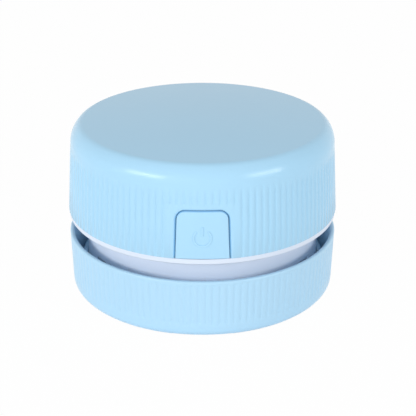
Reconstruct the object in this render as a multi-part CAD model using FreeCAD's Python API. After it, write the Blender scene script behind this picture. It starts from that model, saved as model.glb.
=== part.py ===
import FreeCAD, Part
import math
import os

# Desktop mini vacuum cleaner. Millimetres, +Z up, the button on the -Y side, the origin on the table
# under the middle of the dust cup.

# ---- Driving dimensions: the outside ----
OUTER_RADIUS = 42.5          # skirt of the top shell, the widest point
CUP_HEIGHT = 18.9            # table to the lip of the dust cup
EXHAUST_GAP = 5.5            # open ring between the cup's lip and the frame's rim
RIM_THICKNESS = 1.8          # rim and deck of the mid frame
SHELL_WALL_HEIGHT = 22.0     # fluted wall of the top shell, skirt to shoulder
SHOULDER_HEIGHT = 6.2
SHOULDER_DEPTH = 5.4         # how far the shoulder rounds in
CROWN_RISE = 0.8
SHELL_DRAFT = 1.3            # radius lost between skirt and shoulder
SHELL_WALL = 2.0
RIM_SETBACK = 0.3            # rim inside the skirt
RIM_BEVEL = 0.35
CUP_SETBACK = 0.1            # cup's lip inside the skirt
CUP_DRAFT = 0.5              # radius lost between lip and foot of the cup
CUP_FOOT_ROUND = 2.8
CUP_LIP = 1.3                # wall of the cup at its lip
CUP_WALL = 1.8               # wall of the cup at its foot
LIP_BEVEL = 0.4

# ---- Flutes ----
FLUTE_PITCH = 2.136
FLUTE_WIDTH = 1.3
FLUTE_DEPTH = 0.3
SHELL_FLUTE_FADE = 3.0       # stretch under the shoulder over which the flutes run out
SHELL_FLUTE_STOP = 0.3       # shoulder to the tips of the flutes
CUP_FLUTE_START = 4.5
CUP_FLUTE_TOP_BAND = 1.0     # plain band under the cup's lip
CUP_FLUTE_FADE = 0.8
CUP_FLUTE_DEPTH = 0.2

# ---- Button and its switch ----
BUTTON_HALF_BOTTOM = 7.75
BUTTON_HALF_TOP = 7.45
BUTTON_HEIGHT = 14.6
BUTTON_CORNER = 2.5
BUTTON_GAP = 0.45
BUTTON_FACE_RADIUS = 60.0    # flatter than the wall round it
BUTTON_THICKNESS = 3.0
PLAIN_MARGIN = 1.4           # wall without flutes round the button and the charging port
BUTTON_FLANGE = 1.3          # lip behind the wall that keeps the button in
FLANGE_WALL = 1.2
FLANGE_CLEARANCE = 0.2
BUTTON_TRAVEL = 0.6
STEM_MARGIN = 0.4            # stem of the button, wider than the plunger
SWITCH_SIZE = 6.0
SWITCH_DEPTH = 3.5
PLUNGER_RADIUS = 1.75
PLUNGER_PROUD = 0.9
PLUNGER_END_ROOM = 0.3
BOARD_THICKNESS = 1.2
BOARD_WIDTH = 26.0
BOARD_HEIGHT = 15.8
BOARD_FACE_FROM_WALL = 8.3   # shell's inner wall to the front face of the control board
RAIL_WIDTH = 3.0
RAIL_WALL = 1.5
RAIL_GROOVE = 1.2            # how far the board's edge stands in a rail
RAIL_HEIGHT = 9.5

# ---- Mid frame ----
COLLAR_SETBACK = 5.7         # collar inside the skirt
COLLAR_WALL = 1.8
WINDOW_FROM_FRONT = 40.5     # middle of an exhaust window from the front, or from the back
WINDOW_ANGLE = 43.0
WINDOW_HEIGHT = 3.1
WINDOW_ABOVE_COVER = 0.2
SPIGOT_HEIGHT = 2.0
SPIGOT_WALL = 1.4
SPIGOT_CLEARANCE = 0.2
SPIGOT_BUTTON_ROOM = 0.6     # spigot's ends to the button's keeper lip
ROOT = 0.9                   # how far posts, rails and ribs run into what carries them

# ---- Screws ----
SCREW_RADIUS = 1.0
SCREW_HEAD_RADIUS = 1.9
SCREW_HEAD_HEIGHT = 1.3
SCREW_BITE = 7.0
BORE_END_ROOM = 1.0          # bore past the end of its screw
HEAD_CLEARANCE = 0.1
HEAD_TO_COLLAR = 1.1         # case screw's head to the collar's inner wall
BOSS_RADIUS = 2.8
BOSS_ANGLES = (15.0, 165.0, 233.0, 307.0)
COVER_POST_RADIUS = 2.4
COVER_POST_ANGLES = (90.0, 210.0, 330.0)
POST_TO_COLLAR = 1.8
SINK_DEPTH = 0.8             # recess in the fan cover for the head of a cover screw

# ---- Motor and fan ----
MOTOR_RADIUS = 12.2
MOTOR_BEVEL = 0.8
MOTOR_HEADROOM = 4.9         # top of the can to the shell's roof
MOTOR_BOSS_RADIUS = 3.0
MOTOR_BUSH_HEIGHT = 1.2
MOTOR_SCREW_SPACING = 16.0
MOTOR_SCREW_BITE = 3.0
MOTOR_BORE_END_ROOM = 0.5
ENDCAP_THICKNESS = 1.4
ENDCAP_SETBACK = 0.9
TERMINAL_HEIGHT = 2.6
TERMINAL_SPACING = 14.0
TERMINAL_WIDTH = 2.2
SHAFT_RADIUS = 1.0
SHAFT_CLEARANCE = 0.05
SHAFT_IN_MOTOR = 6.0
SHAFT_END_ROOM = 0.3
IMPELLER_RADIUS = 22.0
IMPELLER_PLATE = 1.0
IMPELLER_HUB_RADIUS = 3.5
HUB_NOSE = 0.8               # bevel at the hub's lower end
HUB_FLARE = 1.5              # where the hub spreads into the plate
HUB_ABOVE_BLADES = 1.4       # lower ends of the blades to the hub's
HUB_ROOM = 1.4               # hub to the motor's face
IMPELLER_TOP_ROOM = 3.6      # impeller's plate to the deck, for the heads of the motor's screws
IMPELLER_FLOOR_ROOM = 0.8
BLADE_COUNT = 9
BLADE_THICKNESS = 1.0
BLADE_ROOT_RADIUS = 8.5
BLADE_BOW = 17.0
BLADE_SWEEP = 42.0
COVER_THICKNESS = 1.2
EYE_RADIUS = 9.5
EYE_LIP = 0.4
EYE_LIP_WALL = 1.0
GUARD_BAR = 1.2

# ---- Battery cell and charging socket ----
CELL_RADIUS = 7.0
CELL_FROM_MOTOR = 1.3
CELL_END_ROOM = 4.6          # end of the cell to the shell's inner wall
CELL_NUB_RADIUS = 2.75
CELL_NUB_HEIGHT = 1.0
CELL_EDGE = 0.4
CELL_NECK = 2.6              # positive end to the crimped groove
CELL_NECK_DEPTH = 0.6
CELL_LIFT = 0.6              # cell above the deck
SADDLE_SPACING = 30.0
SADDLE_THICKNESS = 2.4
SADDLE_HEIGHT = 4.2
SADDLE_SETBACK = 0.8         # saddle narrower than the cell, each side
TAB_THICKNESS = 0.3
TAB_WIDTH = 5.0
TAB_RISE = 11.0
SOCKET_WIDTH = 8.94
SOCKET_HEIGHT = 3.26
SOCKET_DEPTH = 7.35
SOCKET_SHEET = 0.3
SOCKET_BACK = 1.0
SOCKET_INSET = 1.1           # mouth of the socket behind the skirt's radius
SOCKET_CLEARANCE = 0.3
TONGUE_WIDTH = 6.69
TONGUE_THICKNESS = 0.7
TONGUE_SETBACK = 0.7
PORT_LAND_WIDTH = 13.0
PORT_LAND_HEIGHT = 7.5
PORT_LAND_DEPTH = 0.75
CHARGE_BOARD_LIFT = 2.8
CHARGE_BOARD_THICKNESS = 1.0
CHARGE_BOARD_WIDTH = 14.0
CHARGE_BOARD_DEPTH = 8.4
CHARGE_BOARD_TO_WALL = 0.6
LEDGE_WIDTH = 3.0

# ---- Leads and small parts of the boards ----
LEAD_RADIUS = 0.6
LEAD_SIDES = 8
LEAD_BEND_SHARE = 0.45       # of the shorter run beside a bend
LEAD_CLEARANCE = 1.5         # leads to the cell and to the motor's top
BATTERY_LEAD_X = 8.0         # where each pair meets the control board, either side of its middle
MOTOR_LEAD_X = 4.5
CHARGE_LEAD_X = 11.0
CHARGE_LEAD_START_X = 5.5
LEAD_TOP_MARGIN = 2.0        # upper leads to the board's top edge
LEAD_LANDING = 7.0           # straight run onto the board
MOTOR_LEAD_OUT = 4.0         # motor's leads outside its terminals
CHIP_SIZE = 4.0
CHIP_HEIGHT = 1.0
CAPACITOR_RADIUS = 2.0
CAPACITOR_HEIGHT = 4.0
PARTS_SPACING = 5.5

# ---- Cup, filter and brushes ----
PANEL_RECESS = 0.8           # underside of the cup above the table
FLOOR_THICKNESS = 1.8
STANDING_RING_WIDTH = 1.9
NOTCH_WIDTH = 18.0
NOTCH_COUNT = 4
RING_WALL = 1.5
RING_WALL_CLEARANCE = 0.3    # cup's inner wall round the collar
SEAT_HEIGHT = 6.9
SEAT_RIB_COUNT = 12
SEAT_RIB_DEPTH = 1.7
SEAT_RIB_THICKNESS = 1.2
RING_WALL_ABOVE_SEAT = 2.9
SLOT_LENGTH = 30.0
SLOT_WIDTH = 7.0
CHIMNEY_WALL = 1.2
CHIMNEY_HEIGHT = 2.8         # above the cup's floor
NOZZLE_LENGTH = 40.0
NOZZLE_WIDTH = 22.0
NOZZLE_HEIGHT = 2.4
NOZZLE_CORNER = 3.0
BRUSH_OFFSET = 8.3           # brush strip from the middle of the slot
BRUSH_LENGTH = 36.0
BRUSH_WIDTH = 3.2
BRUSH_BASE = 1.2
BRUSH_CORNER = 0.5
CHANNEL_ROOF = 1.0           # top of the nozzle block above the strips
TUFT_PITCH = 3.9
TUFT_RADIUS = 1.1
TUFT_CLEARANCE = 0.15        # tips above the table
FILTER_FLANGE = 1.0
FILTER_CLEARANCE = 0.1
FILTER_HEIGHT = 3.4
FILTER_RING = 2.5
FILTER_GRID = 0.8
FILTER_LEDGE = 0.8
PAD_SETBACK = 0.2            # top of the pad below the frame's
SPOKE_WIDTH = 1.6
SPOKE_BARS = 4
FILTER_HUB_RADIUS = 4.0
COVER_GAP = 0.4              # filter frame to fan cover
SEAL_GROOVE_DEPTH = 0.8
SEAL_GROOVE_HEIGHT = 1.4
SEAL_GROOVE_LIFT = 0.6       # collar's end to the groove
SEAL_CLEARANCE = 0.05
SEAL_LAND = 0.6

# ---- Levels and radii that follow ----
FLOOR_TOP = PANEL_RECESS + FLOOR_THICKNESS
DECK_BOTTOM = CUP_HEIGHT + EXHAUST_GAP
DECK_TOP = DECK_BOTTOM + RIM_THICKNESS
SHOULDER_Z = DECK_TOP + SHELL_WALL_HEIGHT
ROOF_EDGE_Z = SHOULDER_Z + SHOULDER_HEIGHT
FLUTE_TIP_Z = SHOULDER_Z - SHELL_FLUTE_STOP
FLUTE_FADE_Z = FLUTE_TIP_Z - SHELL_FLUTE_FADE
SHELL_TOP_RADIUS = OUTER_RADIUS - SHELL_DRAFT
SHELL_INNER_RADIUS = OUTER_RADIUS - SHELL_WALL
SLOPE = SHELL_DRAFT / SHELL_WALL_HEIGHT
CUP_RADIUS = OUTER_RADIUS - CUP_SETBACK
COLLAR_RADIUS = OUTER_RADIUS - COLLAR_SETBACK
COLLAR_INNER_RADIUS = COLLAR_RADIUS - COLLAR_WALL
COLLAR_BOTTOM = SEAT_HEIGHT + FILTER_FLANGE
RING_WALL_INNER_RADIUS = COLLAR_RADIUS + RING_WALL_CLEARANCE
COVER_BOTTOM = SEAT_HEIGHT + FILTER_HEIGHT + COVER_GAP
COVER_TOP = COVER_BOTTOM + COVER_THICKNESS
WINDOW_BOTTOM = COVER_TOP + WINDOW_ABOVE_COVER
BOSS_CIRCLE = COLLAR_INNER_RADIUS - SCREW_HEAD_RADIUS - HEAD_TO_COLLAR
COVER_POST_CIRCLE = COLLAR_INNER_RADIUS - COVER_POST_RADIUS - POST_TO_COLLAR
MOTOR_TOP = ROOF_EDGE_Z - SHELL_WALL - MOTOR_HEADROOM
CELL_Y = MOTOR_RADIUS + CELL_FROM_MOTOR + CELL_RADIUS
CELL_Z = DECK_TOP + CELL_LIFT + CELL_RADIUS
CELL_HALF = math.sqrt(SHELL_INNER_RADIUS ** 2 - (CELL_Y + CELL_RADIUS) ** 2) - CELL_END_ROOM
CHARGE_BOARD_Z = DECK_TOP + CHARGE_BOARD_LIFT
SOCKET_MOUTH_Y = OUTER_RADIUS - SOCKET_INSET - SLOPE * CHARGE_BOARD_LIFT
SOCKET_Z = CHARGE_BOARD_Z + CHARGE_BOARD_THICKNESS + SOCKET_HEIGHT / 2
BOARD_FACE_Y = -(SHELL_INNER_RADIUS - BOARD_FACE_FROM_WALL)
BUTTON_BOTTOM_Z = DECK_TOP + BUTTON_GAP
BUTTON_CENTRE_Z = DECK_TOP + BUTTON_HEIGHT / 2
SWITCH_FACE_Y = BOARD_FACE_Y - SWITCH_DEPTH
BRUSH_CHANNEL_TOP = FLOOR_TOP + NOZZLE_HEIGHT - CHANNEL_ROOF

# ---- Working values for cutting tools ----
OVERCUT = 1.0
FLUTE_TIP_CLEARANCE = 0.02
ORIGIN = FreeCAD.Vector(0, 0, 0)
UP = FreeCAD.Vector(0, 0, 1)
FRONT = -90                  # degrees from +X to the button's side, midway between two flutes


def vec(x, y, z):
    return FreeCAD.Vector(x, y, z)


def polar(radius, angle, height=0.0):
    """Point at a radius and height, its angle in degrees from +X."""
    turn = math.radians(angle)
    return vec(radius * math.cos(turn), radius * math.sin(turn), height)


def section(points):
    """Edges on the XZ plane. (r, z) is reached by a line, (mid_r, mid_z, r, z) by an arc."""
    edges = []
    here = vec(points[0][0], 0, points[0][1])
    for step in points[1:]:
        end = vec(step[-2], 0, step[-1])
        if len(step) == 4:
            edges.append(Part.Arc(here, vec(step[0], 0, step[1]), end).toShape())
        else:
            edges.append(Part.makeLine(here, end))
        here = end
    return edges


def turned(edges):
    """Solid of revolution about Z from the closed outline that the edges make, its seam at the front."""
    solid = Part.Face(Part.Wire(edges)).revolve(ORIGIN, UP, 360)
    solid.rotate(ORIGIN, UP, FRONT)
    return solid


def lathe(points):
    """Solid of revolution from section points, closed back to the first one."""
    return turned(section(points + [points[0]]))


def tube(outer, inner, bottom, top):
    return lathe([(inner, bottom), (outer, bottom), (outer, top), (inner, top)])


def rod(radius, start, end):
    """Cylinder between two points."""
    along = end - start
    return Part.makeCylinder(radius, along.Length, start, along)


def upright(radius, centre, bottom, top):
    """Vertical cylinder on a centre given in plan."""
    return rod(radius, vec(centre.x, centre.y, bottom), vec(centre.x, centre.y, top))


def block(low, high):
    size = high - low
    return Part.makeBox(size.x, size.y, size.z, low)


def rounded_bar(length, width, corner):
    """Flat face on the XY plane, centred, with rounded corners."""
    x, y, k = length / 2, width / 2, corner * (1 - math.sqrt(0.5))
    a, b = x - corner, y - corner
    steps = [((-a, -y), (a, -y)), ((a, -y), (x - k, k - y), (x, -b)), ((x, -b), (x, b)),
             ((x, b), (x - k, y - k), (a, y)), ((a, y), (-a, y)), ((-a, y), (k - x, y - k), (-x, b)),
             ((-x, b), (-x, -b)), ((-x, -b), (k - x, k - y), (-a, -y))]
    edges = []
    for step in steps:
        ends = [vec(p[0], p[1], 0) for p in step]
        if (ends[0] - ends[-1]).Length < 1e-6:
            continue
        edges.append(Part.Arc(*ends).toShape() if len(ends) == 3 else Part.makeLine(*ends))
    return Part.Face(Part.Wire(edges))


def rounded_block(length, width, corner, bottom, top, x=0.0, y=0.0):
    face = rounded_bar(length, width, corner)
    face.translate(vec(x, y, bottom))
    return face.extrude(vec(0, 0, top - bottom))


def quarter_round(wall_radius, bottom, depth, height):
    """Edge from the wall's top end, up and in to the roof, as a quarter of an ellipse."""
    centre = vec(wall_radius - depth, 0, bottom)
    side = vec(wall_radius, 0, bottom)
    top = vec(wall_radius - depth, 0, bottom + height)
    if height >= depth:
        ellipse = Part.Ellipse(top, side, centre)
    else:
        ellipse = Part.Ellipse(side, top, centre)
    return Part.ArcOfEllipse(ellipse, 0, math.pi / 2).toShape()


def dome(radius, height):
    """Edge from the roof's rim to its middle, a shallow arc that is level on the axis."""
    bow = (radius ** 2 + CROWN_RISE ** 2) / (2 * CROWN_RISE)
    half = radius / 2
    middle = vec(half, 0, height + CROWN_RISE - (bow - math.sqrt(bow ** 2 - half ** 2)))
    return Part.Arc(vec(radius, 0, height), middle, vec(0, 0, height + CROWN_RISE)).toShape()


def fuse(shapes):
    return shapes[0].multiFuse(shapes[1:]).removeSplitter()


def cut(shape, tools):
    return shape.cut(Part.makeCompound(tools))


def save(name, shape):
    """Write one node, a single solid or a group of separate ones."""
    solids = shape.Solids
    whole = solids[0] if len(solids) == 1 else Part.makeCompound(solids)
    whole.exportStep(os.path.join("parts", name + ".step"))


def boss_centres():
    return [polar(BOSS_CIRCLE, angle) for angle in BOSS_ANGLES]


def cover_post_centres():
    return [polar(COVER_POST_CIRCLE, angle) for angle in COVER_POST_ANGLES]


def motor_screw_centres():
    return [vec(side * MOTOR_SCREW_SPACING / 2, 0, 0) for side in (-1, 1)]


def wall_radius_at(height):
    """Outer radius of the top shell's drafted wall."""
    return OUTER_RADIUS - SLOPE * (height - DECK_TOP)


# ---- Flutes, shared by the shell and the cup ----
def polyhedron(rings):
    """Solid through a row of outlines with as many corners each."""
    count = len(rings[0])
    faces = [Part.Face(Part.makePolygon(ring + ring[:1])) for ring in (rings[0], rings[-1])]
    for low, high in zip(rings, rings[1:]):
        for index in range(count):
            after = (index + 1) % count
            corners = [low[index], low[after], high[after], high[index], low[index]]
            faces.append(Part.Face(Part.makePolygon(corners)))
    return Part.Solid(Part.Shell(faces))


def flute(angle, stations):
    """V-shaped groove cutter through (height, wall radius, depth) stations, clear of the wall at depth 0."""
    proud = FLUTE_DEPTH / 2
    half = FLUTE_WIDTH / 2 * (FLUTE_DEPTH + proud) / FLUTE_DEPTH
    outward, sideways = polar(1, angle), polar(1, angle + 90)
    rings = []
    for height, radius, depth in stations:
        floor = polar(radius + FLUTE_TIP_CLEARANCE - depth, angle, height)
        mouth = floor + outward * (FLUTE_DEPTH + proud)
        rings.append([floor, mouth + sideways * half, mouth - sideways * half])
    return polyhedron(rings)


def shell_flute_depth(height):
    return FLUTE_DEPTH * min(1, (FLUTE_TIP_Z - height) / SHELL_FLUTE_FADE)


def flute_angles():
    count = round(2 * math.pi * OUTER_RADIUS / FLUTE_PITCH)
    return [FRONT + 360 * (index + 0.5) / count for index in range(count)]


# ---- Button outline, shared by the button and its opening ----
def button_prism(growth, low_y, high_y, bottom):
    """Prism along Y of the button's outline, grown on its sides and top."""
    top = DECK_TOP + BUTTON_HEIGHT + growth
    half_bottom = BUTTON_HALF_BOTTOM + growth
    half_top = BUTTON_HALF_TOP + growth
    corner = BUTTON_CORNER + growth
    k = corner * (1 - math.sqrt(0.5))
    lean = (half_bottom - half_top) / (top - DECK_TOP)
    corner_half = half_top + lean * corner
    points = [vec(-half_bottom, 0, bottom), vec(half_bottom, 0, bottom), vec(corner_half, 0, top - corner),
              vec(half_top - k, 0, top - k), vec(half_top - corner, 0, top),
              vec(corner - half_top, 0, top), vec(k - half_top, 0, top - k),
              vec(-corner_half, 0, top - corner)]
    edges = [Part.makeLine(points[0], points[1]), Part.makeLine(points[1], points[2]),
             Part.Arc(*points[2:5]).toShape(), Part.makeLine(points[4], points[5]),
             Part.Arc(*points[5:8]).toShape(), Part.makeLine(points[7], points[0])]
    face = Part.Face(Part.Wire(edges))
    face.translate(vec(0, low_y, 0))
    return face.extrude(vec(0, high_y - low_y, 0))


def make_top_shell():
    roof_radius = SHELL_TOP_RADIUS - SHOULDER_DEPTH
    outside = [Part.makeLine(vec(OUTER_RADIUS, 0, DECK_TOP), vec(SHELL_TOP_RADIUS, 0, SHOULDER_Z)),
               quarter_round(SHELL_TOP_RADIUS, SHOULDER_Z, SHOULDER_DEPTH, SHOULDER_HEIGHT),
               dome(roof_radius, ROOF_EDGE_Z)]
    inner_top_radius = SHELL_TOP_RADIUS - SHELL_WALL
    inner_depth, inner_height = SHOULDER_DEPTH - SHELL_WALL, SHOULDER_HEIGHT - SHELL_WALL
    diagonal = math.sqrt(0.5)
    inside = section([(0, ROOF_EDGE_Z - SHELL_WALL), (roof_radius, ROOF_EDGE_Z - SHELL_WALL),
                      (roof_radius + inner_depth * diagonal, SHOULDER_Z + inner_height * diagonal),
                      (inner_top_radius, SHOULDER_Z), (SHELL_INNER_RADIUS, DECK_TOP),
                      (OUTER_RADIUS, DECK_TOP)])
    axis_line = Part.makeLine(vec(0, 0, ROOF_EDGE_Z + CROWN_RISE), vec(0, 0, ROOF_EDGE_Z - SHELL_WALL))
    shell = turned(Part.__sortEdges__(outside + [axis_line] + inside))

    bosses = [upright(BOSS_RADIUS, centre, DECK_TOP, ROOF_EDGE_Z - SHELL_WALL / 2)
              for centre in boss_centres()]
    shell = fuse([shell] + bosses)
    bores = [upright(SCREW_RADIUS, centre, DECK_TOP - OVERCUT, DECK_TOP + SCREW_BITE)
             for centre in boss_centres()]

    bezel_half = BUTTON_HALF_BOTTOM + BUTTON_GAP + PLAIN_MARGIN
    bezel_top = DECK_TOP + BUTTON_HEIGHT + BUTTON_GAP + PLAIN_MARGIN
    land_half = PORT_LAND_WIDTH / 2 + PLAIN_MARGIN
    land_top = SOCKET_Z + PORT_LAND_HEIGHT / 2 + PLAIN_MARGIN
    flutes = []
    for angle in flute_angles():
        place = polar(OUTER_RADIUS, angle)
        low = DECK_TOP - OVERCUT
        if place.y < 0 and abs(place.x) < bezel_half:
            low = bezel_top
        elif place.y > 0 and abs(place.x) < land_half:
            low = land_top
        heights = [low] + [height for height in (FLUTE_FADE_Z, FLUTE_TIP_Z) if height > low]
        if len(heights) > 1:
            flutes.append(flute(angle, [(height, wall_radius_at(height), shell_flute_depth(height))
                                        for height in heights]))
    shell = cut(shell, flutes)

    opening = button_prism(BUTTON_GAP, -OUTER_RADIUS - OVERCUT, BOARD_FACE_Y, DECK_TOP - OVERCUT)
    land = rounded_bar(PORT_LAND_WIDTH, PORT_LAND_HEIGHT, PORT_LAND_HEIGHT / 3)
    port = rounded_bar(SOCKET_WIDTH + 2 * SOCKET_CLEARANCE, SOCKET_HEIGHT + 2 * SOCKET_CLEARANCE,
                       SOCKET_HEIGHT / 2 + SOCKET_CLEARANCE)
    for face in (land, port):
        face.rotate(ORIGIN, vec(1, 0, 0), 90)
    land_y = wall_radius_at(SOCKET_Z) - PORT_LAND_DEPTH
    land.translate(vec(0, land_y, SOCKET_Z))
    port.translate(vec(0, SHELL_INNER_RADIUS - SHELL_WALL, SOCKET_Z))
    port_tools = [face.extrude(vec(0, 3 * SHELL_WALL, 0)) for face in (land, port)]
    return cut(shell, bores + [opening] + port_tools).removeSplitter()


def make_button_cap():
    """Curved plate with a keeper lip behind the wall and a stem that reaches the switch."""
    along = vec(0, SLOPE, 1).normalize()
    inward = vec(0, along.z, -along.y)
    foot = vec(0, -OUTER_RADIUS, DECK_TOP) - along * OUTER_RADIUS
    axis_point = foot + inward * BUTTON_FACE_RADIUS
    length = 3 * OUTER_RADIUS
    front = Part.makeCylinder(BUTTON_FACE_RADIUS, length, axis_point, along)
    back = Part.makeCylinder(BUTTON_FACE_RADIUS - BUTTON_THICKNESS, length, axis_point, along)
    plate = button_prism(0, -OUTER_RADIUS - OVERCUT, BOARD_FACE_Y, BUTTON_BOTTOM_Z).common(front).cut(back)

    lip_outer = SHELL_INNER_RADIUS - FLANGE_CLEARANCE
    lip_high = DECK_TOP + SHELL_WALL_HEIGHT
    lip = lathe([(lip_outer - FLANGE_WALL, DECK_TOP), (lip_outer, DECK_TOP),
                 (lip_outer - SHELL_DRAFT, lip_high), (lip_outer - FLANGE_WALL - SHELL_DRAFT, lip_high)])
    lip = lip.common(button_prism(BUTTON_FLANGE, -OUTER_RADIUS, BOARD_FACE_Y, BUTTON_BOTTOM_Z))
    stem = rod(PLUNGER_RADIUS + STEM_MARGIN, vec(0, -SHELL_INNER_RADIUS, BUTTON_CENTRE_Z),
               vec(0, SWITCH_FACE_Y - PLUNGER_PROUD, BUTTON_CENTRE_Z))
    return fuse([plate, lip, stem])


def make_switch_plunger():
    return rod(PLUNGER_RADIUS, vec(0, SWITCH_FACE_Y - PLUNGER_PROUD, BUTTON_CENTRE_Z),
               vec(0, SWITCH_FACE_Y + PLUNGER_PROUD, BUTTON_CENTRE_Z))


def make_tact_switch():
    half = SWITCH_SIZE / 2
    body = block(vec(-half, SWITCH_FACE_Y, BUTTON_CENTRE_Z - half),
                 vec(half, BOARD_FACE_Y, BUTTON_CENTRE_Z + half))
    bore = rod(PLUNGER_RADIUS + SHAFT_CLEARANCE, vec(0, SWITCH_FACE_Y - OVERCUT, BUTTON_CENTRE_Z),
               vec(0, SWITCH_FACE_Y + PLUNGER_PROUD + BUTTON_TRAVEL + PLUNGER_END_ROOM, BUTTON_CENTRE_Z))
    return body.cut(bore)


def make_control_board():
    half = BOARD_WIDTH / 2
    return block(vec(-half, BOARD_FACE_Y, DECK_TOP),
                 vec(half, BOARD_FACE_Y + BOARD_THICKNESS, DECK_TOP + BOARD_HEIGHT))


def board_rails():
    """Two grooved posts on the deck that the control board slides down into."""
    rails = []
    for side in (-1, 1):
        inner = side * (BOARD_WIDTH / 2 - RAIL_GROOVE)
        outer = inner + side * RAIL_WIDTH
        rails.append(block(vec(min(inner, outer), BOARD_FACE_Y - RAIL_WALL, DECK_TOP - ROOT),
                           vec(max(inner, outer), BOARD_FACE_Y + BOARD_THICKNESS + RAIL_WALL,
                               DECK_TOP + RAIL_HEIGHT)))
    return [rail.cut(make_control_board()) for rail in rails]


def cell_saddles():
    """Two cradles on the deck, hollowed to the cell."""
    cell = rod(CELL_RADIUS, vec(-OUTER_RADIUS, CELL_Y, CELL_Z), vec(OUTER_RADIUS, CELL_Y, CELL_Z))
    half_y = CELL_RADIUS - SADDLE_SETBACK
    saddles = []
    for side in (-1, 1):
        x = side * SADDLE_SPACING / 2
        cradle = block(vec(x - SADDLE_THICKNESS / 2, CELL_Y - half_y, DECK_TOP - ROOT),
                       vec(x + SADDLE_THICKNESS / 2, CELL_Y + half_y, DECK_TOP + SADDLE_HEIGHT))
        saddles.append(cradle.cut(cell))
    return saddles


def make_board_parts():
    """Charging chip, motor driver and capacitor on the back of the control board."""
    back = BOARD_FACE_Y + BOARD_THICKNESS
    half = CHIP_SIZE / 2
    chips = []
    for x, z in ((0, BUTTON_CENTRE_Z), (-PARTS_SPACING, BUTTON_CENTRE_Z - PARTS_SPACING / 2)):
        chips.append(block(vec(x - half, back, z - half), vec(x + half, back + CHIP_HEIGHT, z + half)))
    foot = vec(PARTS_SPACING, back, BUTTON_CENTRE_Z - PARTS_SPACING / 2)
    return Part.makeCompound(chips + [rod(CAPACITOR_RADIUS, foot, foot + vec(0, CAPACITOR_HEIGHT, 0))])


def lead(points):
    """Wire along straight runs joined by tangent arcs, its ends flush with what it is soldered to."""
    edges = []
    here = points[0]
    for before, corner, after in zip(points, points[1:], points[2:]):
        arriving, leaving = corner - before, after - corner
        reach = LEAD_BEND_SHARE * min(arriving.Length, leaving.Length)
        half_turn = arriving.getAngle(leaving) / 2
        radius = reach / math.tan(half_turn)
        inward = (leaving.normalize() - arriving.normalize()).normalize()
        start, end = corner - arriving * reach, corner + leaving * reach
        middle = corner + inward * radius * (1 / math.cos(half_turn) - 1)
        edges += [Part.makeLine(here, start), Part.Arc(start, middle, end).toShape()]
        here = end
    edges.append(Part.makeLine(here, points[-1]))
    ring = Part.makeCircle(LEAD_RADIUS, points[0], points[1] - points[0])
    corners = [ring.valueAt(math.radians(360 / LEAD_SIDES * corner)) for corner in range(LEAD_SIDES)]
    return Part.Wire(edges).makePipeShell([Part.makePolygon(corners + corners[:1])], True, False)


def mirrored_pair(make_points):
    """The same lead on both sides, from a function that gives its points for side -1 or 1."""
    return Part.makeCompound([lead(make_points(side)) for side in (-1, 1)])


def board_back_point(x, down):
    """Point on the control board's back face, below its top edge."""
    return vec(x, BOARD_FACE_Y + BOARD_THICKNESS, DECK_TOP + BOARD_HEIGHT - LEAD_TOP_MARGIN - down)


def make_battery_leads():
    """Two leads from the cell's tabs, past the motor, to the control board."""
    height = CELL_Z + CELL_RADIUS + LEAD_CLEARANCE + LEAD_RADIUS

    def points(side):
        board = board_back_point(side * BATTERY_LEAD_X, 0)
        aside = side * (MOTOR_RADIUS + CELL_RADIUS)
        return [vec(side * CELL_HALF, CELL_Y, height), vec(aside, CELL_Y, height),
                vec(aside, -MOTOR_RADIUS, height), board + vec(0, LEAD_LANDING, 0), board]
    return mirrored_pair(points)


def make_motor_leads():
    """Two leads from the motor's terminals, over its edge, to the control board."""
    height = MOTOR_TOP + LEAD_CLEARANCE

    def points(side):
        board = board_back_point(side * MOTOR_LEAD_X, 0)
        start = side * (TERMINAL_SPACING / 2 + TAB_THICKNESS)
        aside = start + side * MOTOR_LEAD_OUT
        return [vec(start, 0, height), vec(aside, 0, height),
                vec(aside, -MOTOR_RADIUS - MOTOR_LEAD_OUT, height), board + vec(0, LEAD_LANDING, 0), board]
    return mirrored_pair(points)


def make_charge_leads():
    """Two leads from the charge board, over the cell and past the motor, to the control board."""
    low_y, _ = charge_board_span()
    over = CELL_Z + CELL_RADIUS + LEAD_CLEARANCE + LEAD_RADIUS
    top = CHARGE_BOARD_Z + CHARGE_BOARD_THICKNESS
    past_motor = MOTOR_RADIUS + LEAD_CLEARANCE + LEAD_RADIUS

    def points(side):
        board = board_back_point(side * CHARGE_LEAD_X, PARTS_SPACING)
        start = vec(side * CHARGE_LEAD_START_X, low_y + 2 * LEAD_RADIUS, top)
        return [start, vec(start.x, start.y, over), vec(side * past_motor, CELL_Y - CELL_RADIUS, over),
                vec(side * past_motor, -MOTOR_RADIUS, over), board + vec(0, LEAD_LANDING, 0), board]
    return mirrored_pair(points)


def charge_board_span():
    """Low and high Y of the charge board, which ends behind the shell's wall."""
    high = SOCKET_MOUTH_Y - SHELL_WALL - CHARGE_BOARD_TO_WALL
    return high - CHARGE_BOARD_DEPTH, high


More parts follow.
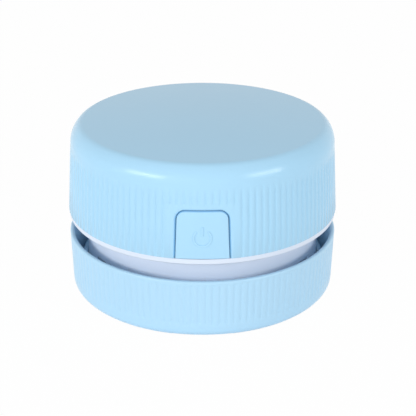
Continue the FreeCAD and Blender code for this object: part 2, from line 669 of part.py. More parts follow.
def make_mid_frame():
    rim_radius = OUTER_RADIUS - RIM_SETBACK
    frame = lathe([(0, DECK_BOTTOM), (COLLAR_INNER_RADIUS, DECK_BOTTOM), (COLLAR_INNER_RADIUS, COLLAR_BOTTOM),
                   (COLLAR_RADIUS, COLLAR_BOTTOM), (COLLAR_RADIUS, DECK_BOTTOM),
                   (rim_radius - RIM_BEVEL, DECK_BOTTOM), (rim_radius, DECK_BOTTOM + RIM_BEVEL),
                   (rim_radius, DECK_TOP), (0, DECK_TOP)])

    spigot_radius = SHELL_INNER_RADIUS - SPIGOT_CLEARANCE - SLOPE * SPIGOT_HEIGHT
    spigot_top = DECK_TOP + SPIGOT_HEIGHT
    spigot = tube(spigot_radius, spigot_radius - SPIGOT_WALL, DECK_TOP - ROOT, spigot_top)
    button_room = BUTTON_HALF_BOTTOM + BUTTON_FLANGE + SPIGOT_BUTTON_ROOM
    spigot = spigot.cut(block(vec(-button_room, -OUTER_RADIUS, DECK_TOP),
                              vec(button_room, 0, spigot_top + OVERCUT)))
    posts = [upright(COVER_POST_RADIUS, centre, COVER_TOP, DECK_BOTTOM + ROOT)
             for centre in cover_post_centres()]
    low_y, high_y = charge_board_span()
    ledges = []
    for side in (-1, 1):
        x = side * CHARGE_BOARD_WIDTH / 2
        ledges.append(block(vec(x - LEDGE_WIDTH / 2, low_y, DECK_TOP - ROOT),
                            vec(x + LEDGE_WIDTH / 2, high_y, CHARGE_BOARD_Z)))
    frame = fuse([frame, spigot] + posts + ledges + board_rails() + cell_saddles())

    tools = [upright(SCREW_RADIUS, centre, DECK_BOTTOM - OVERCUT, DECK_TOP + OVERCUT)
             for centre in boss_centres() + motor_screw_centres()]
    tools += [upright(SCREW_RADIUS, centre, COVER_TOP - OVERCUT, COVER_TOP + SCREW_BITE)
              for centre in cover_post_centres()]
    tools.append(upright(MOTOR_BOSS_RADIUS, ORIGIN, DECK_BOTTOM - OVERCUT, DECK_TOP + OVERCUT))
    groove_low = COLLAR_BOTTOM + SEAL_GROOVE_LIFT
    tools.append(tube(COLLAR_RADIUS + OVERCUT, COLLAR_RADIUS - SEAL_GROOVE_DEPTH, groove_low,
                      groove_low + SEAL_GROOVE_HEIGHT))
    window_ring = tube(COLLAR_RADIUS + OVERCUT, COLLAR_INNER_RADIUS - OVERCUT, WINDOW_BOTTOM,
                       WINDOW_BOTTOM + WINDOW_HEIGHT)
    for middle in (90 + WINDOW_FROM_FRONT, 90 - WINDOW_FROM_FRONT, 270 + WINDOW_FROM_FRONT,
                   270 - WINDOW_FROM_FRONT):
        reach = 2 * OUTER_RADIUS
        wedge = Part.Face(Part.makePolygon([ORIGIN, polar(reach, middle - WINDOW_ANGLE / 2),
                                            polar(reach, middle + WINDOW_ANGLE / 2), ORIGIN]))
        tools.append(window_ring.common(wedge.extrude(vec(0, 0, DECK_BOTTOM))))
    return cut(frame, tools)


def screws(centres, head_top, bite):
    """Pan-headed screws driven upwards, their heads against a face at head_top."""
    return Part.makeCompound([
        upright(SCREW_HEAD_RADIUS, centre, head_top - SCREW_HEAD_HEIGHT, head_top)
        .fuse(upright(SCREW_RADIUS, centre, head_top, head_top + bite)) for centre in centres])


def make_seal_ring():
    inner = COLLAR_RADIUS - SEAL_GROOVE_DEPTH
    outer = RING_WALL_INNER_RADIUS - SEAL_CLEARANCE
    low = COLLAR_BOTTOM + SEAL_GROOVE_LIFT
    high = low + SEAL_GROOVE_HEIGHT
    middle = (low + high) / 2
    return lathe([(inner, low), (COLLAR_RADIUS, low), (outer, middle - SEAL_LAND / 2),
                  (outer, middle + SEAL_LAND / 2), (COLLAR_RADIUS, high), (inner, high)])


def make_fan_cover():
    """Plate under the impeller with its inlet eye, a turned-up lip and a crossed finger guard."""
    radius = COLLAR_INNER_RADIUS - FILTER_CLEARANCE
    plate = tube(radius, EYE_RADIUS, COVER_BOTTOM, COVER_TOP)
    lip = tube(EYE_RADIUS + EYE_LIP_WALL, EYE_RADIUS, COVER_BOTTOM, COVER_TOP + EYE_LIP)
    reach, half = EYE_RADIUS + EYE_LIP_WALL / 2, GUARD_BAR / 2
    bars = [block(vec(-reach, -half, COVER_BOTTOM), vec(reach, half, COVER_TOP)),
            block(vec(-half, -reach, COVER_BOTTOM), vec(half, reach, COVER_TOP))]
    holes = [upright(SCREW_RADIUS, centre, COVER_BOTTOM - OVERCUT, COVER_TOP + OVERCUT)
             for centre in cover_post_centres()]
    sinks = [upright(SCREW_HEAD_RADIUS + HEAD_CLEARANCE, centre, COVER_BOTTOM - OVERCUT,
                     COVER_BOTTOM + SINK_DEPTH) for centre in cover_post_centres()]
    return cut(fuse([plate, lip] + bars), holes + sinks)


def make_cover_screws():
    """Flat-headed screws whose heads lie in the cover."""
    head_bottom, head_top = COVER_BOTTOM + HEAD_CLEARANCE, COVER_BOTTOM + SINK_DEPTH
    tip = COVER_TOP + SCREW_BITE - BORE_END_ROOM
    return Part.makeCompound([
        upright(SCREW_HEAD_RADIUS, centre, head_bottom, head_top)
        .fuse(upright(SCREW_RADIUS, centre, head_top, tip)) for centre in cover_post_centres()])


def impeller_levels():
    """Bottom of the blades, underside of the plate and top of the hub."""
    plate_top = DECK_BOTTOM - IMPELLER_TOP_ROOM
    return COVER_TOP + IMPELLER_FLOOR_ROOM, plate_top - IMPELLER_PLATE, DECK_BOTTOM - HUB_ROOM


def blade(angle, bottom, top):
    """Backward-curved blade, an arc-shaped wall between the root circle and the rim."""
    start, end = polar(BLADE_ROOT_RADIUS, angle), polar(IMPELLER_RADIUS, angle - BLADE_SWEEP)
    chord = end - start
    middle = (start + end) * 0.5
    sideways = vec(-chord.y, chord.x, 0).normalize()
    centre = middle - sideways * math.sqrt(BLADE_BOW ** 2 - (chord.Length / 2) ** 2)
    walls = []
    for radius in (BLADE_BOW - BLADE_THICKNESS / 2, BLADE_BOW + BLADE_THICKNESS / 2):
        walls.append([centre + (target - centre).normalize() * radius
                      for target in (start, middle + sideways, end)])
    inner, outer = walls
    edges = [Part.Arc(*inner).toShape(), Part.makeLine(inner[2], outer[2]),
             Part.Arc(outer[2], outer[1], outer[0]).toShape(), Part.makeLine(outer[0], inner[0])]
    face = Part.Face(Part.Wire(edges))
    face.translate(vec(0, 0, bottom))
    return face.extrude(vec(0, 0, top - bottom))


def make_impeller():
    blade_bottom, plate_bottom, hub_top = impeller_levels()
    plate_top = plate_bottom + IMPELLER_PLATE
    hub_bottom = blade_bottom + HUB_ABOVE_BLADES
    body = lathe([(0, hub_bottom), (IMPELLER_HUB_RADIUS - HUB_NOSE, hub_bottom),
                  (IMPELLER_HUB_RADIUS, hub_bottom + HUB_NOSE),
                  (IMPELLER_HUB_RADIUS, plate_bottom - HUB_FLARE),
                  (IMPELLER_HUB_RADIUS + HUB_FLARE, plate_bottom),
                  (IMPELLER_RADIUS, plate_bottom), (IMPELLER_RADIUS, plate_top),
                  (IMPELLER_HUB_RADIUS, plate_top), (IMPELLER_HUB_RADIUS, hub_top), (0, hub_top)])
    rim = upright(IMPELLER_RADIUS, ORIGIN, blade_bottom, plate_top)
    blades = [blade(360 / BLADE_COUNT * index, blade_bottom, plate_bottom + IMPELLER_PLATE / 2).common(rim)
              for index in range(BLADE_COUNT)]
    return fuse([body] + blades).cut(upright(SHAFT_RADIUS, ORIGIN, hub_bottom - OVERCUT, hub_top + OVERCUT))


def make_motor_shaft():
    blade_bottom, _, _ = impeller_levels()
    return upright(SHAFT_RADIUS, ORIGIN, blade_bottom + HUB_ABOVE_BLADES, DECK_BOTTOM + SHAFT_IN_MOTOR)


def make_motor_can():
    can_top = MOTOR_TOP - ENDCAP_THICKNESS
    can = lathe([(0, DECK_BOTTOM), (MOTOR_BOSS_RADIUS, DECK_BOTTOM), (MOTOR_BOSS_RADIUS, DECK_TOP),
                 (MOTOR_RADIUS - MOTOR_BEVEL, DECK_TOP), (MOTOR_RADIUS, DECK_TOP + MOTOR_BEVEL),
                 (MOTOR_RADIUS, can_top), (0, can_top)])
    bores = [upright(SCREW_RADIUS, centre, DECK_TOP - OVERCUT, DECK_TOP + MOTOR_SCREW_BITE)
             for centre in motor_screw_centres()]
    bores.append(upright(SHAFT_RADIUS + SHAFT_CLEARANCE, ORIGIN, DECK_BOTTOM - OVERCUT,
                         DECK_BOTTOM + SHAFT_IN_MOTOR + SHAFT_END_ROOM))
    return cut(can, bores)


def make_motor_endcap():
    low = MOTOR_TOP - ENDCAP_THICKNESS
    radius = MOTOR_RADIUS - ENDCAP_SETBACK
    return lathe([(0, low), (radius, low), (radius, MOTOR_TOP), (MOTOR_BOSS_RADIUS, MOTOR_TOP),
                  (MOTOR_BOSS_RADIUS, MOTOR_TOP + MOTOR_BUSH_HEIGHT), (0, MOTOR_TOP + MOTOR_BUSH_HEIGHT)])


def make_motor_terminals():
    half = TERMINAL_WIDTH / 2
    return Part.makeCompound([
        block(vec(side * TERMINAL_SPACING / 2 - TAB_THICKNESS, -half, MOTOR_TOP),
              vec(side * TERMINAL_SPACING / 2 + TAB_THICKNESS, half, MOTOR_TOP + TERMINAL_HEIGHT))
        for side in (-1, 1)])


def make_battery_cell():
    """Cylindrical cell on its side, with the crimped neck and the nub of its positive end."""
    length = 2 * CELL_HALF - CELL_NUB_HEIGHT
    neck = length - CELL_NECK
    cell = lathe([(0, 0), (CELL_RADIUS - CELL_EDGE, 0), (CELL_RADIUS, CELL_EDGE),
                  (CELL_RADIUS, neck), (CELL_RADIUS - CELL_NECK_DEPTH, neck + CELL_NECK_DEPTH),
                  (CELL_RADIUS, neck + 2 * CELL_NECK_DEPTH), (CELL_RADIUS, length - CELL_EDGE),
                  (CELL_RADIUS - CELL_EDGE, length), (CELL_NUB_RADIUS, length),
                  (CELL_NUB_RADIUS, length + CELL_NUB_HEIGHT), (0, length + CELL_NUB_HEIGHT)])
    cell.rotate(ORIGIN, vec(0, 1, 0), 90)
    cell.translate(vec(-CELL_HALF, CELL_Y, CELL_Z))
    return cell


def make_cell_tabs():
    """Welded strips on the cell's ends, reaching up to where the leads are soldered."""
    half = TAB_WIDTH / 2
    tabs = []
    for side in (-1, 1):
        near, far = side * CELL_HALF, side * (CELL_HALF + TAB_THICKNESS)
        tabs.append(block(vec(min(near, far), CELL_Y - half, CELL_Z - half),
                          vec(max(near, far), CELL_Y + half, CELL_Z + TAB_RISE)))
    return Part.makeCompound(tabs)


def make_charge_board():
    low_y, high_y = charge_board_span()
    half = CHARGE_BOARD_WIDTH / 2
    return block(vec(-half, low_y, CHARGE_BOARD_Z),
                 vec(half, high_y, CHARGE_BOARD_Z + CHARGE_BOARD_THICKNESS))


def make_charge_socket():
    """Pressed steel shell, open at its mouth, closed by a wall at the back."""
    corner = SOCKET_HEIGHT / 2
    outer = rounded_bar(SOCKET_WIDTH, SOCKET_HEIGHT, corner)
    inner = rounded_bar(SOCKET_WIDTH - 2 * SOCKET_SHEET, SOCKET_HEIGHT - 2 * SOCKET_SHEET,
                        corner - SOCKET_SHEET)
    for face in (outer, inner):
        face.rotate(ORIGIN, vec(1, 0, 0), 90)
        face.translate(vec(0, SOCKET_MOUTH_Y, SOCKET_Z))
    hollow = inner.extrude(vec(0, SOCKET_BACK - SOCKET_DEPTH, 0))
    return outer.extrude(vec(0, -SOCKET_DEPTH, 0)).cut(hollow)


def make_socket_tongue():
    back = SOCKET_MOUTH_Y - SOCKET_DEPTH + SOCKET_BACK
    return block(vec(-TONGUE_WIDTH / 2, back, SOCKET_Z - TONGUE_THICKNESS / 2),
                 vec(TONGUE_WIDTH / 2, SOCKET_MOUTH_Y - TONGUE_SETBACK, SOCKET_Z + TONGUE_THICKNESS / 2))


def make_filter_frame():
    """Ring with the flange that seats in the cup, a spigot that plugs into the collar and a spoked grid."""
    flange_radius = RING_WALL_INNER_RADIUS - FILTER_CLEARANCE
    ring_radius = COLLAR_INNER_RADIUS - FILTER_CLEARANCE
    opening = ring_radius - FILTER_RING
    low, high = SEAT_HEIGHT, SEAT_HEIGHT + FILTER_HEIGHT
    grid_top = low + FILTER_GRID
    ring = lathe([(opening - FILTER_LEDGE, low), (flange_radius, low),
                  (flange_radius, low + FILTER_FLANGE), (ring_radius, low + FILTER_FLANGE),
                  (ring_radius, high), (opening, high), (opening, grid_top),
                  (opening - FILTER_LEDGE, grid_top)])
    spokes = []
    for index in range(SPOKE_BARS):
        bar = block(vec(-opening, -SPOKE_WIDTH / 2, low), vec(opening, SPOKE_WIDTH / 2, grid_top))
        bar.rotate(ORIGIN, UP, 180 / SPOKE_BARS * index)
        spokes.append(bar)
    hub = upright(FILTER_HUB_RADIUS, ORIGIN, low, grid_top)
    return fuse([ring, hub] + spokes)


def make_filter_pad():
    radius = COLLAR_INNER_RADIUS - FILTER_CLEARANCE - FILTER_RING
    return upright(radius, ORIGIN, SEAT_HEIGHT + FILTER_GRID, SEAT_HEIGHT + FILTER_HEIGHT - PAD_SETBACK)


def brush_bars(bottom):
    """The two rounded bars that the brush strips fill, from a bottom level up to their seat."""
    return [rounded_block(BRUSH_LENGTH, BRUSH_WIDTH, BRUSH_CORNER, bottom, BRUSH_CHANNEL_TOP, 0,
                          side * BRUSH_OFFSET) for side in (-1, 1)]


def make_dust_cup():
    foot_radius = CUP_RADIUS - CUP_DRAFT
    standing_outer = foot_radius - CUP_FOOT_ROUND
    k = CUP_FOOT_ROUND * (1 - math.sqrt(0.5))
    lip_inner = CUP_RADIUS - CUP_LIP
    ring_outer = RING_WALL_INNER_RADIUS + RING_WALL
    ring_top = SEAT_HEIGHT + RING_WALL_ABOVE_SEAT
    wall_inner = foot_radius - CUP_WALL
    cup = lathe([
        (0, PANEL_RECESS), (standing_outer - STANDING_RING_WIDTH, PANEL_RECESS),
        (standing_outer - STANDING_RING_WIDTH, 0), (standing_outer, 0),
        (foot_radius - k, k, foot_radius, CUP_FOOT_ROUND), (CUP_RADIUS, CUP_HEIGHT - LIP_BEVEL),
        (CUP_RADIUS - LIP_BEVEL, CUP_HEIGHT), (lip_inner + LIP_BEVEL / 2, CUP_HEIGHT),
        (lip_inner, CUP_HEIGHT - LIP_BEVEL / 2),
        (wall_inner, FLOOR_TOP), (ring_outer, FLOOR_TOP), (ring_outer, ring_top),
        (RING_WALL_INNER_RADIUS, ring_top), (RING_WALL_INNER_RADIUS, FLOOR_TOP), (0, FLOOR_TOP)])

    ribs = []
    for index in range(SEAT_RIB_COUNT):
        rib = block(vec(RING_WALL_INNER_RADIUS - SEAT_RIB_DEPTH, -SEAT_RIB_THICKNESS / 2, FLOOR_TOP - ROOT),
                    vec(RING_WALL_INNER_RADIUS + RING_WALL / 2, SEAT_RIB_THICKNESS / 2, SEAT_HEIGHT))
        rib.rotate(ORIGIN, UP, 360 / SEAT_RIB_COUNT * (index + 0.5))
        ribs.append(rib)
    nozzle = rounded_block(NOZZLE_LENGTH, NOZZLE_WIDTH, NOZZLE_CORNER, PANEL_RECESS,
                           FLOOR_TOP + NOZZLE_HEIGHT)
    chimney = rounded_block(SLOT_LENGTH + 2 * CHIMNEY_WALL, SLOT_WIDTH + 2 * CHIMNEY_WALL,
                            SLOT_WIDTH / 2 + CHIMNEY_WALL, PANEL_RECESS, FLOOR_TOP + CHIMNEY_HEIGHT)
    cup = fuse([cup, nozzle, chimney] + ribs)

    slot = rounded_block(SLOT_LENGTH, SLOT_WIDTH, SLOT_WIDTH / 2, -OVERCUT,
                         FLOOR_TOP + CHIMNEY_HEIGHT + OVERCUT)
    notches = []
    for index in range(NOTCH_COUNT):
        notch = block(vec(standing_outer - STANDING_RING_WIDTH - OVERCUT, -NOTCH_WIDTH / 2, -OVERCUT),
                      vec(OUTER_RADIUS + OVERCUT, NOTCH_WIDTH / 2, PANEL_RECESS))
        notch.rotate(ORIGIN, UP, 360 / NOTCH_COUNT * index)
        notches.append(notch)
    cup = cut(cup, [slot] + brush_bars(-OVERCUT) + notches)

    cup_slope = CUP_DRAFT / (CUP_HEIGHT - LIP_BEVEL - CUP_FOOT_ROUND)
    low_tip, high_tip = CUP_FLUTE_START, CUP_HEIGHT - CUP_FLUTE_TOP_BAND
    stations = [(height, foot_radius + cup_slope * (height - CUP_FOOT_ROUND), depth)
                for height, depth in ((low_tip, 0), (low_tip + CUP_FLUTE_FADE, CUP_FLUTE_DEPTH),
                                      (high_tip - CUP_FLUTE_FADE, CUP_FLUTE_DEPTH), (high_tip, 0))]
    return cut(cup, [flute(angle, stations) for angle in flute_angles()])


def make_brush_strips():
    return Part.makeCompound(brush_bars(BRUSH_CHANNEL_TOP - BRUSH_BASE))


def make_brush_tufts():
    """Rows of six-sided tufts standing down from the strips."""
    top = BRUSH_CHANNEL_TOP - BRUSH_BASE
    count = int((BRUSH_LENGTH - 2 * TUFT_RADIUS) / TUFT_PITCH) + 1
    corners = [polar(TUFT_RADIUS, 60 * corner, TUFT_CLEARANCE) for corner in range(6)]
    tuft = Part.Face(Part.makePolygon(corners + corners[:1])).extrude(vec(0, 0, top - TUFT_CLEARANCE))
    tufts = []
    for side in (-1, 1):
        for index in range(count):
            copy = tuft.copy()
            copy.translate(vec(TUFT_PITCH * (index - (count - 1) / 2), side * BRUSH_OFFSET, 0))
            tufts.append(copy)
    return Part.makeCompound(tufts)


os.makedirs("parts", exist_ok=True)
save("top_shell", make_top_shell())
save("mid_frame", make_mid_frame())
save("case_screws", screws(boss_centres(), DECK_BOTTOM, RIM_THICKNESS + SCREW_BITE - BORE_END_ROOM))
save("motor_can", make_motor_can())
save("motor_endcap", make_motor_endcap())
save("motor_terminals", make_motor_terminals())
save("motor_screws", screws(motor_screw_centres(), DECK_BOTTOM,
                            RIM_THICKNESS + MOTOR_SCREW_BITE - MOTOR_BORE_END_ROOM))
save("motor_shaft", make_motor_shaft())
save("impeller", make_impeller())
save("fan_cover", make_fan_cover())
save("cover_screws", make_cover_screws())
save("battery_cell", make_battery_cell())
save("cell_tabs", make_cell_tabs())
save("control_board", make_control_board())
save("tact_switch", make_tact_switch())
save("button_cap", make_button_cap())
save("switch_plunger", make_switch_plunger())
save("board_parts", make_board_parts())
save("battery_leads", make_battery_leads())
save("motor_leads", make_motor_leads())
save("charge_leads", make_charge_leads())
save("charge_board", make_charge_board())
save("charge_socket", make_charge_socket())
save("socket_tongue", make_socket_tongue())
save("seal_ring", make_seal_ring())
save("filter_frame", make_filter_frame())
save("filter_pad", make_filter_pad())
save("dust_cup", make_dust_cup())
save("brush_strips", make_brush_strips())
save("brush_tufts", make_brush_tufts())
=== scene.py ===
import math

import bmesh
import bpy
from mathutils import Matrix, Vector


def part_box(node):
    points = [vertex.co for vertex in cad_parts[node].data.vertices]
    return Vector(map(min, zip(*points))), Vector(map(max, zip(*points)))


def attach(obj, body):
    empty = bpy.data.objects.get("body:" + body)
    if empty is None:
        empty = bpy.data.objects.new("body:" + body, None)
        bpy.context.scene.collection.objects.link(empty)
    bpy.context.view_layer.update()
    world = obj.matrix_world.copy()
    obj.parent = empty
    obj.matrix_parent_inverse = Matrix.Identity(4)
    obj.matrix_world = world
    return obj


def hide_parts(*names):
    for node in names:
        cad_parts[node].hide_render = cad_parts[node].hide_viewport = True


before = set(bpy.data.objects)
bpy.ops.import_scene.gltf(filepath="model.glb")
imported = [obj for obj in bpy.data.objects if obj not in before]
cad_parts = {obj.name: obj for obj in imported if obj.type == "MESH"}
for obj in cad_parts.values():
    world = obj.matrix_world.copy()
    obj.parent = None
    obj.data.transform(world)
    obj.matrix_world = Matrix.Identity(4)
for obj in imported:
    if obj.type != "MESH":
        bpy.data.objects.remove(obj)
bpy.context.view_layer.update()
MM = 0.001


# ---- Dust cup ----
# The lower half is one pale blue ABS moulding: a shallow round cup with fine upright flutes, a rounded foot
# and a soft lip. A ring wall inside takes the collar above, and a raised block in the floor carries the
# suction slot between two pockets for the brushes.
class Channel:
    """A shader node's output that takes part in sums: each operator adds its Math node."""

    def __init__(self, tree, socket):
        self.tree = tree
        self.socket = socket

    def node(self, kind, settings, inputs, output=0):
        """Any node: its settings first, then the values or channels of its sockets."""
        made = self.tree.nodes.new(kind)
        for name, value in settings.items():
            setattr(made, name, value)
        for name, value in inputs.items():
            if isinstance(value, Channel):
                self.tree.links.new(value.socket, made.inputs[name])
            else:
                made.inputs[name].default_value = value
        return Channel(self.tree, made.outputs[output] if made.outputs else None)

    def math(self, operation, *values):
        return self.node("ShaderNodeMath", {"operation": operation}, dict(enumerate(values)))

    def __add__(self, other):
        return self.math("ADD", self, other)

    def __rsub__(self, other):
        return self.math("SUBTRACT", other, self)

    def __mul__(self, other):
        return self.math("MULTIPLY", self, other)

    __radd__ = __add__

    def noise(self, size, detail=2.0):
        """Cloudy values from 0 to 1, in patches about as large as size."""
        return self.node("ShaderNodeTexNoise", {}, {"Vector": self, "Scale": 1 / size, "Detail": detail})

    def rise(self, low, high):
        """0 up to low, 1 from high on, smooth between."""
        return self.node("ShaderNodeMapRange", {"interpolation_type": "SMOOTHSTEP"},
                         {"Value": self, "From Min": low, "From Max": high})

    def between(self, low, high):
        """Low where this channel is 0, high where it is 1."""
        return self * (high - low) + low

    def tint(self, first, second):
        """Colour between two by this channel."""
        return self.node("ShaderNodeMix", {"data_type": "RGBA"}, {0: self, 6: first, 7: second}, 2)

    def relief(self, height):
        """Normal of a surface whose relief this channel gives, from 0 to height."""
        return self.node("ShaderNodeBump", {}, {"Strength": 1.0, "Distance": height, "Height": self})

    def part(self, axis):
        """X, Y or Z of a vector, as 0, 1 or 2."""
        return self.node("ShaderNodeSeparateXYZ", {}, {"Vector": self}, axis)


def new_finish(name):
    """An empty material, and the object's own coordinates for its patterns to start from."""
    material = bpy.data.materials.new(name)
    material.use_nodes = True
    tree = material.node_tree
    tree.nodes.clear()
    return material, Channel(tree, tree.nodes.new("ShaderNodeTexCoord").outputs["Object"])


def surface(place, **values):
    """The material's one shader. A space in a socket's name is written as _."""
    inputs = {name.replace("_", " "): value for name, value in values.items()}
    shader = place.node("ShaderNodeBsdfPrincipled", {}, inputs)
    place.node("ShaderNodeOutputMaterial", {}, {"Surface": shader})


def shade(colour, share=1.0):
    """A colour made darker or lighter by a share, with its alpha of 1."""
    return (*[part * share for part in colour], 1)


def pale_blue(name, smooth, dull, colour=(0.440, 0.735, 0.956)):
    """Pale blue ABS from a fine-grained mould, a little duller where hands have been."""
    flow_size, touch_size, grain_size, grain_depth = 26 * MM, 9 * MM, 0.3 * MM, 0.0006 * MM
    material, place = new_finish(name)
    flow = place.noise(flow_size, 3.0)
    touch = place.noise(touch_size, 4.0).rise(0.35, 0.75)
    grain = place.noise(grain_size, 1.0)
    surface(place, Base_Color=flow.tint(shade(colour), shade(colour, 1.02)),
            Roughness=touch.between(smooth, dull), Normal=grain.relief(grain_depth), IOR=1.5,
            Specular_IOR_Level=0.25)
    return material


flute_count = 125
flute_steps = 8
flute_width = 1.3 * MM
flute_depth = 0.3 * MM
front_angle = math.radians(-90)
flute_angle = math.radians(360 / flute_count)
axis_hole = 0.01 * MM
sharp_angle = math.radians(50)


def flute_centre(angle):
    """Angle of the middle of the flute that a point lies in, counted from between the two front ones."""
    return front_angle + (math.floor((angle - front_angle) / flute_angle + 1e-6) + 0.5) * flute_angle


def flute_dip(angle, radius):
    """Share of its full depth that a round-bottomed flute has at an angle."""
    away = abs(angle - flute_centre(angle)) * radius / (flute_width / 2)
    return (1 + math.cos(math.pi * away)) / 2 if away < 1 else 0.0


def turned(rows, segments, plain=None):
    """Round moulding through rows of (radius, height, flute depth), closed flat or on the axis at its ends.
    plain says where a flute with its middle at a point is left out."""
    bm = bmesh.new()
    bmesh.ops.create_circle(bm, segments=segments, radius=1)
    edges = list(bm.edges)
    ends = []
    for index, (radius, height, depth) in enumerate(rows):
        if index:
            made = bmesh.ops.extrude_edge_only(bm, edges=edges)["geom"]
            edges = [part for part in made if isinstance(part, bmesh.types.BMEdge)]
        for vert in {vert for edge in edges for vert in edge.verts}:
            angle = math.atan2(vert.co.y, vert.co.x)
            sunk = 0.0
            if depth:
                middle = flute_centre(angle)
                if not (plain and plain(radius * math.cos(middle), radius * math.sin(middle), height)):
                    sunk = depth * flute_dip(angle, radius)
            reach = max(radius, axis_hole) - sunk
            vert.co = (reach * math.cos(angle), reach * math.sin(angle), height)
        if index in (0, len(rows) - 1):
            ends.append(edges)
    for end in ends:
        bmesh.ops.contextual_create(bm, geom=end)
    return bm


def outline(corners, rounded, size, segments=8):
    """Flat face through corner points, those in rounded turned into arcs of a given radius."""
    bm = bmesh.new()
    verts = [bm.verts.new(corner) for corner in corners]
    bm.faces.new(verts)
    bmesh.ops.bevel(bm, geom=[verts[index] for index in rounded], offset=size, affect="VERTICES",
                    segments=segments, profile=0.5, material=-1)
    return bm


def raised(bm, step):
    """The face made solid by a straight step."""
    made = bmesh.ops.extrude_face_region(bm, geom=list(bm.faces))["geom"]
    bmesh.ops.translate(bm, vec=step, verts=[part for part in made if isinstance(part, bmesh.types.BMVert)])
    return bm


def rounded_block(low, high, corner):
    """Upright block between two corners, its four upright edges rounded."""
    corners = [(low[0], low[1], low[2]), (high[0], low[1], low[2]),
               (high[0], high[1], low[2]), (low[0], high[1], low[2])]
    return raised(outline(corners, range(4), corner), (0, 0, high[2] - low[2]))


def middle_block(half, heights, corner):
    """Upright block with its middle on the axis, its four upright edges rounded."""
    return rounded_block((-half[0], -half[1], heights[0]), (*half, heights[1]), corner)


def swung(bm, degrees):
    """The shape swung about the upright axis."""
    bmesh.ops.rotate(bm, matrix=Matrix.Rotation(math.radians(degrees), 3, "Z"), verts=bm.verts)
    return bm


def as_object(name, *shapes):
    """One mesh object from shapes that don't touch each other, their faces outwards."""
    joined = bmesh.new()
    for shape in shapes:
        bmesh.ops.recalc_face_normals(shape, faces=shape.faces)
        part = bpy.data.meshes.new(name)
        shape.to_mesh(part)
        shape.free()
        joined.from_mesh(part)
        bpy.data.meshes.remove(part)
    mesh = bpy.data.meshes.new(name)
    joined.to_mesh(mesh)
    joined.free()
    made = bpy.data.objects.new(name, mesh)
    bpy.context.scene.collection.objects.link(made)
    return made


def carve(piece, tool, operation="DIFFERENCE"):
    """The tool's shape is cut out of the piece, or joined to it, and the tool is done away with."""
    step = piece.modifiers.new("carve", "BOOLEAN")
    step.operation, step.solver, step.object = operation, "EXACT", tool
    shape = piece.evaluated_get(bpy.context.evaluated_depsgraph_get())
    whole = bpy.data.meshes.new_from_object(shape)
    piece.modifiers.clear()
    piece.data = whole
    bpy.data.objects.remove(tool)


def fit(piece, material, body, slot, *nodes):
    """Finish, place and shading of a piece, smooth but for its real edges."""
    piece.data.materials.clear()
    piece.data.materials.append(material)
    piece.data.shade_smooth()
    piece.data.set_sharp_from_angle(angle=sharp_angle)
    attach(piece, body)
    if nodes:
        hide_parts(*nodes)


cup_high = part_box("dust_cup")[1]
lip_z = cup_high.z
lip_radius = cup_high.x
cup_lean = 0.5 * MM
foot_radius = lip_radius - cup_lean
foot_round = 2.8 * MM
foot_wall = 1.8 * MM
lip_round = 0.55 * MM
lip_wall = 1.3 * MM
lip_ease = 0.3 * MM
stand_width = 1.9 * MM
stand_outer = foot_radius - foot_round
stand_inner = stand_outer - stand_width
panel_z = 0.8 * MM
floor_z = 2.6 * MM
filter_low, filter_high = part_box("filter_frame")
seat_z = filter_low.z
ring_clearance, ring_wall, ring_rise, ring_ease = 0.1 * MM, 1.5 * MM, 2.9 * MM, 0.2 * MM
ring_inner = filter_high.x + ring_clearance
ring_outer = ring_inner + ring_wall
ring_top = seat_z + ring_rise
flute_low = 4.5 * MM
flute_high = lip_z - 1.0 * MM
flute_fade = 0.8 * MM
cup_flute_depth = 0.2 * MM


def arc(centre_r, centre_z, bend, start, end, steps):
    """Rows along a bend of the wall between two angles in degrees, without flutes."""
    turns = [math.radians(start + (end - start) * index / steps) for index in range(steps + 1)]
    return [(centre_r + bend * math.cos(turn), centre_z + bend * math.sin(turn), 0) for turn in turns]


def cup_radius(height):
    """Outer radius of the cup's leaning wall."""
    share = (height - foot_round) / (lip_z - lip_round - foot_round)
    return foot_radius + (lip_radius - foot_radius) * share


cup_rows = [(stand_inner, panel_z, 0), (stand_inner, 0, 0), (stand_outer, 0, 0)]
cup_rows += arc(stand_outer, foot_round, foot_round, -90, 0, 8)[1:]
for height, share in ((flute_low, 0), (flute_low + flute_fade / 2, 0.7), (flute_low + flute_fade, 1),
                      (flute_high - flute_fade, 1), (flute_high - flute_fade / 2, 0.7), (flute_high, 0)):
    cup_rows.append((cup_radius(height), height, cup_flute_depth * share))
cup_rows += arc(lip_radius - lip_round, lip_z - lip_round, lip_round, 0, 90, 5)
cup_rows += [(lip_radius - lip_wall + lip_ease, lip_z, 0), (lip_radius - lip_wall, lip_z - lip_ease, 0),
             (foot_radius - foot_wall, floor_z, 0), (ring_outer, floor_z, 0),
             (ring_outer, ring_top - ring_ease, 0), (ring_outer - ring_ease, ring_top, 0),
             (ring_inner + ring_ease, ring_top, 0), (ring_inner, ring_top - ring_ease, 0),
             (ring_inner, floor_z, 0)]
cup = as_object("cup", turned(cup_rows, flute_count * flute_steps))

